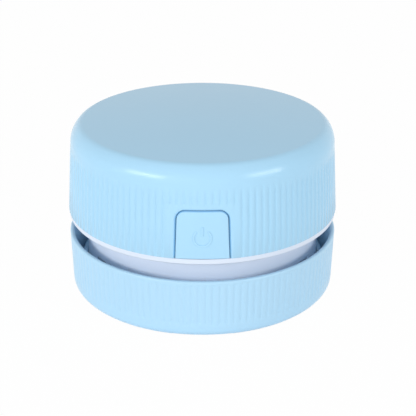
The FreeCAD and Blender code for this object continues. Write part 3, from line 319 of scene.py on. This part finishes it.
rib_count = 12
rib_half = 0.6 * MM
rib_ends = (ring_inner - 1.7 * MM, ring_inner + 0.7 * MM)
rib_corner, rib_sunk = 0.15 * MM, 0.5 * MM
seat_clearance = 0.02 * MM
seat_ribs = [swung(rounded_block((rib_ends[0], -rib_half, floor_z - rib_sunk),
                                 (rib_ends[1], rib_half, seat_z - seat_clearance), rib_corner),
                   360 / rib_count * (index + 0.5)) for index in range(rib_count)]
nozzle_half, nozzle_heights, nozzle_corner = (20 * MM, 11 * MM), (1.4 * MM, 5.0 * MM), 3 * MM
nozzle = middle_block(nozzle_half, nozzle_heights, nozzle_corner)
carve(cup, as_object("nozzle", nozzle, *seat_ribs), "UNION")
end_flat = 0.01 * MM
chimney_half, chimney_heights = (16.2 * MM, 4.7 * MM), (1.6 * MM, 5.4 * MM)
chimney = middle_block(chimney_half, chimney_heights, chimney_half[1] - end_flat)
carve(cup, as_object("chimney", chimney), "UNION")

overcut = 1 * MM
slot_half, slot_heights = (15 * MM, 3.5 * MM), (-overcut, 8 * MM)
slot = middle_block(slot_half, slot_heights, slot_half[1] - end_flat)
strip_low, strip_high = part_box("brush_strips")
strip_half, strip_corner = 1.6 * MM, 0.5 * MM
pockets = [rounded_block((strip_low.x, middle - strip_half, -overcut),
                         (strip_high.x, middle + strip_half, strip_high.z), strip_corner)
           for middle in (strip_low.y + strip_half, strip_high.y - strip_half)]
notch_half, notch_end, notch_corner = 9 * MM, 45 * MM, 0.3 * MM
notches = [swung(rounded_block((stand_inner - overcut, -notch_half, -overcut),
                               (notch_end, notch_half, panel_z), notch_corner), 90 * index)
           for index in range(4)]
carve(cup, as_object("slot", slot, *pockets, *notches))
# The cup's colour is lighter and less saturated than the shell's own blue: painted light, standing in for
# light thrown up from the white table onto the same plastic.
fit(cup, pale_blue("cup_plastic_with_painted_bounce", 0.28, 0.36, (0.480, 0.745, 0.950)), "cup", "cup_blue", "dust_cup")


# ---- Brushes ----
# Two grey polypropylene strips press into the pockets beside the slot. Each holds a row of stiff nylon
# bristles in round tufts that just clear the table and sweep crumbs towards the slot.
def moulded(name, colour, smooth, dull):
    """Plain moulded plastic or rubber in one colour, with a faint cloud in it and a fine grain."""
    cloud_size, touch_size, grain_size, grain_depth = 7 * MM, 3 * MM, 0.25 * MM, 0.006 * MM
    material, place = new_finish(name)
    cloud = place.noise(cloud_size, 3.0)
    surface(place, Base_Color=cloud.tint(shade(colour, 0.9), shade(colour)),
            Roughness=place.noise(touch_size, 3.0).between(smooth, dull),
            Normal=place.noise(grain_size, 1.0).relief(grain_depth))
    return material


def refinish(material, *nodes):
    """The finish of nodes that are shown as they are."""
    for node in nodes:
        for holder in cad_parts[node].material_slots:
            holder.material = material


refinish(moulded("strip_plastic", (0.11, 0.12, 0.14), 0.45, 0.6), "brush_strips")

tuft_low, tuft_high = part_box("brush_tufts")
tuft_radius = 1.0 * MM
tuft_count = 9
tuft_margin = 1.1 * MM
tuft_row = 8.3 * MM
tuft_pitch = (tuft_high.x - tuft_low.x - 2 * tuft_margin) / (tuft_count - 1)
bristle_gap = 0.43 * MM
row_gap = bristle_gap * 0.87
bristle_tip, bristle_root = 0.1 * MM, 0.14 * MM
length_step = 0.05 * MM
lean_x, lean_y = 70, 40
root_share = 0.8
bristles = bmesh.new()
for tuft in range(2 * tuft_count):
    middle_x = tuft_low.x + tuft_margin + tuft_pitch * (tuft // 2)
    middle_y = tuft_row if tuft % 2 else -tuft_row
    for row in range(-2, 3):
        for column in range(-2, 3):
            x = (column + 0.5 * (row % 2)) * bristle_gap
            y = row * row_gap
            if math.hypot(x, y) > tuft_radius - bristle_tip:
                continue
            lean = Matrix.Rotation(x * lean_x, 4, "Y") @ Matrix.Rotation(-y * lean_y, 4, "X")
            root = Matrix.Translation((middle_x + x * root_share, middle_y + y * root_share, tuft_high.z))
            length = tuft_high.z - tuft_low.z - length_step * ((row + 2 * column) % 3)
            hang = Matrix.Translation((0, 0, -length / 2))
            bmesh.ops.create_cone(bristles, cap_ends=True, segments=5, radius1=bristle_tip,
                                  radius2=bristle_root, depth=length, matrix=root @ lean @ hang)
bristle_rows = as_object("bristles", bristles)
bristle_plastic = moulded("bristle_plastic", (0.035, 0.042, 0.052), 0.35, 0.5)
fit(bristle_rows, bristle_plastic, "cup", "bristle_nylon", "brush_tufts")


# ---- Filter ----
# A white polypropylene ring with a spoked grid lies on the cup's ribs under the collar. It holds a disc of
# open-celled charcoal foam, which stands just proud of its moulded edges between the spokes.
refinish(moulded("filter_plastic", (0.80, 0.82, 0.83), 0.4, 0.5), "filter_frame")

pad_low, pad_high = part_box("filter_pad")
pad_edge = 0.5 * MM
pad_segments = 160
pad_rows = [(0, pad_low.z, 0), (pad_high.x - pad_edge, pad_low.z, 0)]
pad_rows += arc(pad_high.x - pad_edge, pad_low.z + pad_edge, pad_edge, -90, 0, 4)[1:]
pad_rows += arc(pad_high.x - pad_edge, pad_high.z - pad_edge, pad_edge, 0, 90, 4)
pad_rows += [(pad_high.x * share, pad_high.z, 0) for share in (0.7, 0.35, 0)]
pad = as_object("filter_foam", turned(pad_rows, pad_segments))
pores_per_metre = 1400.0
pore_depth = 0.25 * MM
foam, place = new_finish("open_foam")
cells = place.node("ShaderNodeTexVoronoi", {"feature": "DISTANCE_TO_EDGE"},
                   {"Vector": place, "Scale": pores_per_metre})
# The middles of the foam's cells are painted darker than their edges: painted shade in the pore hollows, on
# top of their real relief.
pore_hollows_and_shade = cells.rise(0.02, 0.3)
surface(place, Base_Color=pore_hollows_and_shade.tint((0.075, 0.085, 0.10, 1), (0.018, 0.02, 0.024, 1)),
        Roughness=0.95, Normal=(1 - pore_hollows_and_shade).relief(pore_depth))
fit(pad, foam, "filter", "filter_foam", "filter_pad")


# ---- Mid frame ----
# One white ABS moulding carries everything: a deck with a bright rim that shows under the skirt, and a
# collar below it with four long exhaust windows, which plugs into the cup. The seal is soft silicone.
white_abs, place = new_finish("frame_plastic")
frame_flow = place.noise(20 * MM, 3.0)
frame_touch = place.noise(6 * MM, 4.0)
frame_grain = place.noise(0.2 * MM, 1.0)
surface(place, Base_Color=frame_flow.tint((0.74, 0.82, 0.95, 1), (0.76, 0.84, 0.97, 1)),
        Roughness=frame_touch.between(0.3, 0.4), Normal=frame_grain.relief(0.003 * MM))
refinish(white_abs, "mid_frame", "fan_cover")
refinish(moulded("seal_silicone", (0.70, 0.74, 0.78), 0.45, 0.6), "seal_ring")


# ---- Fan ----
# The impeller is moulded in natural white nylon, with nine curved blades under a plate. It is pressed on a
# ground steel shaft. Three flat-headed screws hold the cover with the inlet eye and its crossed guard.
def turned_metal(name, colour, smooth, dull, scratch):
    """Bare metal with fine scratches that run round or along it, told by how each axis is squeezed."""
    line_size, line_depth, stain_size = 0.2 * MM, 0.003 * MM, 4 * MM
    material, place = new_finish(name)
    squeezed = place.node("ShaderNodeMapping", {}, {"Vector": place, "Scale": scratch})
    lines = squeezed.noise(line_size, 2.0)
    stain = place.noise(stain_size, 3.0)
    surface(place, Base_Color=stain.tint(shade(colour, 0.86), shade(colour)), Metallic=1.0,
            Roughness=lines.between(smooth, dull), Normal=lines.relief(line_depth))
    return material


refinish(moulded("fan_nylon", (0.76, 0.78, 0.78), 0.4, 0.5), "impeller")
refinish(turned_metal("shaft_metal", (0.60, 0.61, 0.63), 0.12, 0.25, (1, 1, 12)), "motor_shaft")
refinish(turned_metal("screw_metal", (0.55, 0.56, 0.58), 0.28, 0.45, (1, 1, 4)),
         "case_screws", "motor_screws", "cover_screws")


# ---- Motor ----
# A small brushed motor in a drawn, nickel-plated can stands on the deck, held by two screws from below.
# Its upper end is a black nylon cap with two tinned brass terminals.
refinish(turned_metal("can_metal", (0.52, 0.53, 0.55), 0.28, 0.4, (1, 1, 0.1)), "motor_can")
refinish(moulded("endcap_nylon", (0.02, 0.02, 0.022), 0.4, 0.55), "motor_endcap")
refinish(turned_metal("contact_metal", (0.72, 0.56, 0.30), 0.28, 0.38, (4, 1, 1)), "motor_terminals")


# ---- Battery ----
# One rechargeable cell in green shrink film lies across the deck in two saddles. Nickel strips are spot
# welded to its ends and stand up to where the leads are soldered.
film_end, bare_end = 23.9 * MM, 24.3 * MM
film, place = new_finish("cell_film")
bare = place.part(0).math("ABSOLUTE").rise(film_end, bare_end)
drawn = place.node("ShaderNodeMapping", {}, {"Vector": place, "Scale": (0.15, 1, 1)})
creases = drawn.noise(1.2 * MM, 2.0)
surface(place, Base_Color=bare.tint((0.03, 0.24, 0.16, 1), (0.56, 0.56, 0.57, 1)), Metallic=bare,
        Roughness=place.noise(5 * MM).between(0.28, 0.4), Normal=creases.relief(0.02 * MM))
refinish(film, "battery_cell")
refinish(turned_metal("nickel_metal", (0.60, 0.58, 0.54), 0.28, 0.4, (1, 1, 0.2)), "cell_tabs")


# ---- Boards and switch ----
# Green glass-epoxy boards with copper tracks under their mask. The control board stands in two grooved
# rails behind the button and carries the push switch, its chips and a capacitor.
board, place = new_finish("board_mask")
upright = place.node("ShaderNodeMapping", {}, {"Vector": place, "Rotation": (math.radians(90), 0, 0)})
tracks = place.node("ShaderNodeTexBrick", {"offset": 0.37, "squash": 0.6},
                    {"Vector": upright, "Scale": 420.0, "Mortar Size": 0.06, "Mortar Smooth": 0.2}, 1)
surface(place, Base_Color=tracks.tint((0.006, 0.085, 0.03, 1), (0.03, 0.19, 0.07, 1)),
        Roughness=tracks.between(0.36, 0.28), Normal=tracks.relief(0.03 * MM), Coat_Weight=0.3)
refinish(board, "control_board", "charge_board")
refinish(moulded("switch_nylon", (0.014, 0.014, 0.016), 0.4, 0.55),
         "tact_switch", "switch_plunger", "board_parts", "socket_tongue")


# ---- Charging socket ----
# A small reversible socket in pressed stainless steel is soldered on its own board at the back, its mouth
# just behind a flat recess in the shell.
refinish(turned_metal("socket_metal", (0.56, 0.57, 0.59), 0.28, 0.38, (1, 0.2, 1)), "charge_socket")


# ---- Leads ----
# Pairs of thin stranded leads in soft PVC sleeves run from the cell, the motor and the charge board to the
# back of the control board.
refinish(moulded("red_sleeve", (0.34, 0.012, 0.01), 0.4, 0.5), "battery_leads")
refinish(moulded("black_sleeve", (0.012, 0.012, 0.014), 0.4, 0.5), "motor_leads", "charge_leads")


# ---- Push button ----
# A separate pale blue cap fills the notch in the front of the shell with an even gap. Its face is flatter
# than the wall and smooth, with a power sign in fine relief. A lip behind the wall keeps it in.
shell_low, shell_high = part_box("top_shell")
deck_z = shell_low.z
skirt_radius = shell_high.x
wall_slope = 1.3 / 22.0
button_half = (7.85 * MM, 7.3 * MM)
button_top = deck_z + 14.6 * MM
button_corner = 2.5 * MM
button_gap = 0.45 * MM
face_radius = 60 * MM
corner_angle = math.radians(60)
strip_width = 0.6 * MM


def button_outline(growth, bottom, y):
    """Upright face of the button's outline, grown at its sides and top."""
    low, high = button_half[0] + growth, button_half[1] + growth
    corners = [(-low, y, bottom), (low, y, bottom), (high, y, button_top + growth),
               (-high, y, button_top + growth)]
    return outline(corners, (2, 3), button_corner + growth, 10)


def eased(bm, size, segments):
    """Every corner edge of a flat-sided shape rounded a little."""
    edges = [edge for edge in bm.edges if edge.calc_face_angle(0) > corner_angle]
    bmesh.ops.bevel(bm, geom=edges, offset=size, affect="EDGES", segments=segments, profile=0.5,
                    material=-1, clamp_overlap=True)
    return bm


def bent(bm, radius):
    """A flat shape at y = 0 laid on a face that leans with the wall and is bowed to a radius."""
    reaches = [vert.co.x for vert in bm.verts]
    low, high = min(reaches), max(reaches)
    strips = max(2, int((high - low) / strip_width))
    for index in range(1, strips):
        bmesh.ops.bisect_plane(bm, geom=[*bm.verts, *bm.edges, *bm.faces], dist=1e-7,
                               plane_co=(low + (high - low) * index / strips, 0, 0), plane_no=(1, 0, 0))
    for vert in bm.verts:
        bow = radius - math.sqrt(radius ** 2 - vert.co.x ** 2)
        vert.co.y += bow - skirt_radius + wall_slope * (vert.co.z - deck_z)
    return bm


button_foot = deck_z + 0.2 * MM
cap_thick, cap_ease = 3 * MM, 0.3 * MM
cap = raised(button_outline(0, button_foot, 0), (0, cap_thick, 0))
cap = bent(eased(cap, cap_ease, 4), face_radius)
keeper_flange, keeper_front, keeper_thick = 1.3 * MM, 2.55 * MM, 1.0 * MM
keeper = raised(button_outline(keeper_flange, button_foot, keeper_front), (0, keeper_thick, 0))
keeper = bent(keeper, face_radius)
plunger_low, plunger_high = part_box("switch_plunger")
stem_radius, stem_front = 2.15 * MM, 39.2 * MM
stem_length = plunger_low.y + stem_front
stem_place = Matrix.Translation((0, plunger_low.y - stem_length / 2, (plunger_low.z + plunger_high.z) / 2))
stem = bmesh.new()
bmesh.ops.create_cone(stem, cap_ends=True, segments=48, radius1=stem_radius, radius2=stem_radius,
                      depth=stem_length, matrix=stem_place @ Matrix.Rotation(math.radians(90), 4, "X"))
button = as_object("button", cap)
for name, shape in (("keeper", keeper), ("stem", stem)):
    carve(button, as_object(name, shape), "UNION")
fit(button, pale_blue("button_plastic", 0.3, 0.38), "button", "button_blue", "button_cap")

sign_z = 32.9 * MM
sign_outer, sign_stroke, sign_height = 2.85 * MM, 0.6 * MM, 0.2 * MM
sign_ease, sign_sunk = 0.1 * MM, 0.02 * MM
sign_gap = math.radians(40)
ring = bmesh.new()
start = Vector((math.sin(sign_gap), 0, math.cos(sign_gap)))
ring_ends = [ring.verts.new(start * reach) for reach in (sign_outer - sign_stroke, sign_outer)]
edge = ring.edges.new(ring_ends)
bmesh.ops.spin(ring, geom=[*ring_ends, edge], cent=(0, 0, 0), axis=(0, 1, 0), steps=56,
               angle=2 * math.pi - 2 * sign_gap)
bar_half = sign_stroke / 2
bar_low, bar_high = 0.6 * MM, sign_outer + 0.6 * MM
bar = outline([(-bar_half, 0, bar_low), (bar_half, 0, bar_low), (bar_half, 0, bar_high),
               (-bar_half, 0, bar_high)], range(4), bar_half * 0.98, 5)
for stroke in (ring, bar):
    raised(stroke, (0, -sign_height, 0))
    bmesh.ops.translate(stroke, vec=(0, 0, sign_z), verts=stroke.verts)
    eased(stroke, sign_ease, 3)
    bent(stroke, face_radius)
    bmesh.ops.translate(stroke, vec=(0, sign_sunk, 0), verts=stroke.verts)
sign = as_object("power_sign", ring, bar)
fit(sign, pale_blue("sign_plastic", 0.4, 0.48), "button", "button_blue")


# ---- Top shell ----
# The upper half is a deep round lid in pale blue ABS with a fluted wall, a full soft shoulder and an almost
# flat top. The flutes run out under the shoulder and stop short of the button and the charging port.
roof_z = shell_high.z
crown_rise = 1.05 * MM
roof_edge_z = roof_z - crown_rise
shoulder_round, roof_round = 7.3 * MM, 2.8 * MM
shoulder_turn = 47
shoulder_out = math.cos(math.radians(shoulder_turn))
shoulder_up = math.sin(math.radians(shoulder_turn))
shoulder_z = roof_edge_z - roof_round * (1 - shoulder_up) - shoulder_round * shoulder_up
neck_radius = skirt_radius - wall_slope * (shoulder_z - deck_z)
roof_radius = neck_radius - shoulder_round + (shoulder_round - roof_round) * shoulder_out
shell_wall = 2.0 * MM
bezel = 1.4 * MM
fade_z = shoulder_z - 3.3 * MM
tip_z = shoulder_z - 0.3 * MM
socket_low, socket_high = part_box("charge_socket")
socket_z = (socket_low.z + socket_high.z) / 2
socket_gap = 0.3 * MM
port_half, port_corner, port_depth = (6.5 * MM, 3.75 * MM), 2.5 * MM, 0.75 * MM
skirt_edge = 0.2 * MM
land_top = socket_z + port_half[1] + bezel
bezel_top = button_top + button_gap + bezel


def wall_radius(height):
    """Outer radius of the shell's leaning wall."""
    return skirt_radius - wall_slope * (height - deck_z)


def left_out(x, y, height):
    """Where the wall stays plain: round the button and the charging port."""
    if y < 0:
        return abs(x) < button_half[0] + button_gap + bezel and height < bezel_top
    return abs(x) < port_half[0] + bezel and height < land_top


shell_rows = [(roof_radius, roof_edge_z - shell_wall, 0),
              (roof_radius + (roof_round - shell_wall) * shoulder_out,
               roof_edge_z - roof_round + (roof_round - shell_wall) * shoulder_up, 0),
              (neck_radius - shell_wall, shoulder_z, 0), (skirt_radius - shell_wall, deck_z, 0),
              (skirt_radius - skirt_edge, deck_z, 0), (skirt_radius, deck_z + skirt_edge, flute_depth)]
row_below, row_above = 0.1 * MM, 0.5 * MM
for height in (land_top - row_below, land_top + row_above, bezel_top - row_below, bezel_top + row_above,
               fade_z):
    shell_rows.append((wall_radius(height), height, flute_depth))
for share in (0.75, 0.5, 0.25, 0):
    height = fade_z + (tip_z - fade_z) * (1 - share)
    shell_rows.append((wall_radius(height), height, flute_depth * share))
shell_rows += arc(neck_radius - shoulder_round, shoulder_z, shoulder_round, 0, shoulder_turn, 10)
shell_rows += arc(roof_radius, roof_edge_z - roof_round, roof_round, shoulder_turn, 90, 10)[1:]
crown_bow = (roof_radius ** 2 + crown_rise ** 2) / (2 * crown_rise)
for share in (0.95, 0.85, 0.65, 0.4, 0.15, 0):
    reach = roof_radius * share
    shell_rows.append((reach, roof_z - crown_bow + math.sqrt(crown_bow ** 2 - reach ** 2), 0))
shell = as_object("shell", turned(shell_rows, flute_count * flute_steps, left_out))

throat, throat_depth = 0.15 * MM, 0.5 * MM
clear = 2 * MM
notch_back = 8 * MM
opening = button_outline(throat, deck_z - clear, notch_back)
opening = bent(raised(opening, (0, -notch_back - clear, 0)), skirt_radius)
carve(shell, as_object("opening", opening))
mouth_round = (0.9 * MM, 0.45 * MM)
flare = raised(button_outline(button_gap + mouth_round[0], deck_z - clear, 0), (0, -clear, 0))
inner = max(flare.faces, key=lambda face: face.calc_center_median().y)
turns = [math.radians(22.5 * index) for index in range(5)]
steps = [(mouth_round[0] * (math.sin(after) - math.sin(before)),
          mouth_round[1] * (math.cos(before) - math.cos(after))) for before, after in zip(turns, turns[1:])]
steps.append((button_gap - throat, throat_depth))
for inset, sunk in steps:
    bmesh.ops.inset_region(flare, faces=[inner], use_even_offset=True, thickness=inset, depth=0)
    bmesh.ops.translate(flare, vec=(0, sunk, 0), verts=inner.verts)
carve(shell, as_object("flare", bent(flare, skirt_radius)))


port_reach = 8 * MM


def port(half_x, half_z, corner, low_y):
    """Cutter for a rounded recess round the socket, from a depth to clear of the wall."""
    corners = [(-half_x, low_y, socket_z - half_z), (half_x, low_y, socket_z - half_z),
               (half_x, low_y, socket_z + half_z), (-half_x, low_y, socket_z + half_z)]
    return raised(outline(corners, range(4), corner), (0, port_reach, 0))


mouth_half = (socket_high.x + socket_gap, (socket_high.z - socket_low.z) / 2 + socket_gap)
mouth_depth = 5 * MM
carve(shell, as_object("land", port(*port_half, port_corner, wall_radius(socket_z) - port_depth)))
carve(shell, as_object("mouth", port(*mouth_half, mouth_half[1] * 0.99, skirt_radius - mouth_depth)))
fit(shell, pale_blue("shell_plastic", 0.16, 0.22), "head", "shell_blue", "top_shell")


# ---- Table, light and camera ----
# The cleaner stands on a plain white table in an even white room. Two low strip lights in front put the
# gloss on its shoulder, and a broad panel fills in from the left.
table_half = 4.0
table_white = 0.98
room_strength = 0.48
floor_mesh = bmesh.new()
bmesh.ops.create_grid(floor_mesh, x_segments=1, y_segments=1, size=table_half)
floor = as_object("table", floor_mesh)


def sight(place):
    """1 for rays from the camera, in gloss or through glass, and 0 for the rest."""
    return sum(place.node("ShaderNodeLightPath", {}, {}, kind)
               for kind in ("Is Camera Ray", "Is Glossy Ray", "Is Transmission Ray"))


white, place = new_finish("table_white")
card = place.node("ShaderNodeBsdfDiffuse", {}, {"Color": (0.9, 0.9, 0.9, 1)})
glow = place.node("ShaderNodeEmission", {}, {"Color": (1, 1, 1, 1), "Strength": 1.0})
lifted = place.node("ShaderNodeMixShader", {}, {0: sight(place) * table_white, 1: card, 2: glow})
place.node("ShaderNodeOutputMaterial", {}, {"Surface": lifted})
floor.data.materials.append(white)

room = bpy.data.worlds.new("room")
bpy.context.scene.world = room
room.use_nodes = True
room.node_tree.nodes.clear()
sky = Channel(room.node_tree, None)
even = sky.node("ShaderNodeBackground", {}, {"Color": (1, 1, 1, 1), "Strength": room_strength})
open_white = sky.node("ShaderNodeBackground", {}, {"Color": (1, 1, 1, 1), "Strength": 1.0})
mixed = sky.node("ShaderNodeMixShader", {}, {0: sight(sky), 1: even, 2: open_white})
sky.node("ShaderNodeOutputWorld", {}, {"Surface": mixed})

target = Vector((0, 0, 24 * MM))


def soft_light(name, azimuth, elevation, distance, width, height, power):
    """A rectangular light that faces the cleaner. Azimuth 0 is the button's side, positive to the right."""
    turn, lift = math.radians(azimuth), math.radians(elevation)
    back = Vector((math.sin(turn) * math.cos(lift), -math.cos(turn) * math.cos(lift), math.sin(lift)))
    lamp = bpy.data.lights.new(name, "AREA")
    lamp.shape, lamp.size, lamp.size_y, lamp.energy = "RECTANGLE", width, height, power
    holder = bpy.data.objects.new(name, lamp)
    holder.location = target + back * distance
    holder.rotation_euler = back.to_track_quat("Z", "Y").to_euler()
    bpy.context.scene.collection.objects.link(holder)


soft_light("strip_left", -48, 17, 0.9, 0.50, 0.20, 2.9)
soft_light("strip_right", 54, 19, 0.9, 0.46, 0.24, 2.45)
soft_light("broad_left", -40, 10, 1.2, 1.6, 0.8, 2.0)

camera_lift = math.radians(23.6)
camera_back = Vector((0, -math.cos(camera_lift), math.sin(camera_lift)))
camera_distance = 0.380
lens = bpy.data.cameras.new("camera")
lens.sensor_width, lens.lens, lens.shift_x = 36.0, 102.3, 0.0134
camera = bpy.data.objects.new("camera", lens)
camera.location = target + camera_back * camera_distance
camera.rotation_euler = camera_back.to_track_quat("Z", "Y").to_euler()
bpy.context.scene.collection.objects.link(camera)
bpy.context.scene.camera = camera
bpy.context.scene.view_settings.view_transform = "Standard"
